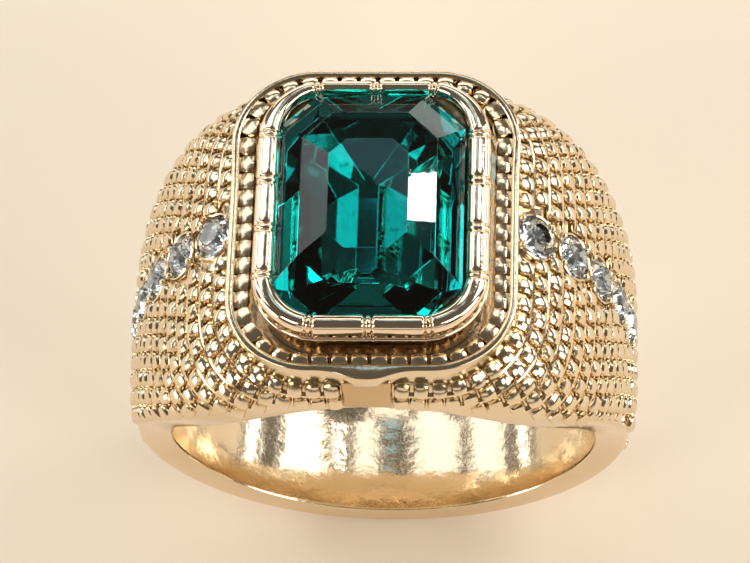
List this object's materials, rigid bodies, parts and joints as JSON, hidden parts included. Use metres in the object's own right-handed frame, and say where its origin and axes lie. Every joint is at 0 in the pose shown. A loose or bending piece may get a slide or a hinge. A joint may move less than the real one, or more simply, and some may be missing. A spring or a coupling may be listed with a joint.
{
  "type": "cocktail ring",
  "caption": "Finger ring with a foiled green step-cut octagon stone in a bamboo-rimmed bezel, inside a beaded frame on wide beaded shoulders with clear round stones.",
  "frame": {"origin": "centre of the finger bore, in the middle of the band's width", "axes": "+Y along the finger, away from the front of the ring; +Z from the bore's centre up through the head and its stone; +X across the finger"},
  "size_m": [0.0228, 0.0152, 0.0257],
  "materials": {
    "gold_plate": "cast, tumbled and gold plated, high polish",
    "gold_plate_cup": "cast, polished and gold plated",
    "green_glass": "pressed and fire-polished green glass",
    "mirror_foil": "silvered backing",
    "clear_glass": "clear faceted glass",
    "chip_foil": "silvered backing",
    "cement": "cured clear-amber jeweller's cement"
  },
  "bodies": {
    "root": {"ring_band": "gold_plate", "bezel_cup": "gold_plate_cup", "centre_stone": "green_glass", "centre_foil": "mirror_foil", "centre_cement": "cement", "side_stone_left_1": "clear_glass", "side_stone_left_2": "clear_glass", "side_stone_left_3": "clear_glass", "side_stone_left_4": "clear_glass", "side_stone_left_5": "clear_glass", "side_stone_right_1": "clear_glass", "side_stone_right_2": "clear_glass", "side_stone_right_3": "clear_glass", "side_stone_right_4": "clear_glass", "side_stone_right_5": "clear_glass", "side_foil_left": "chip_foil", "side_foil_right": "chip_foil", "side_cement_left": "cement", "side_cement_right": "cement"}
  },
  "joints": []
}
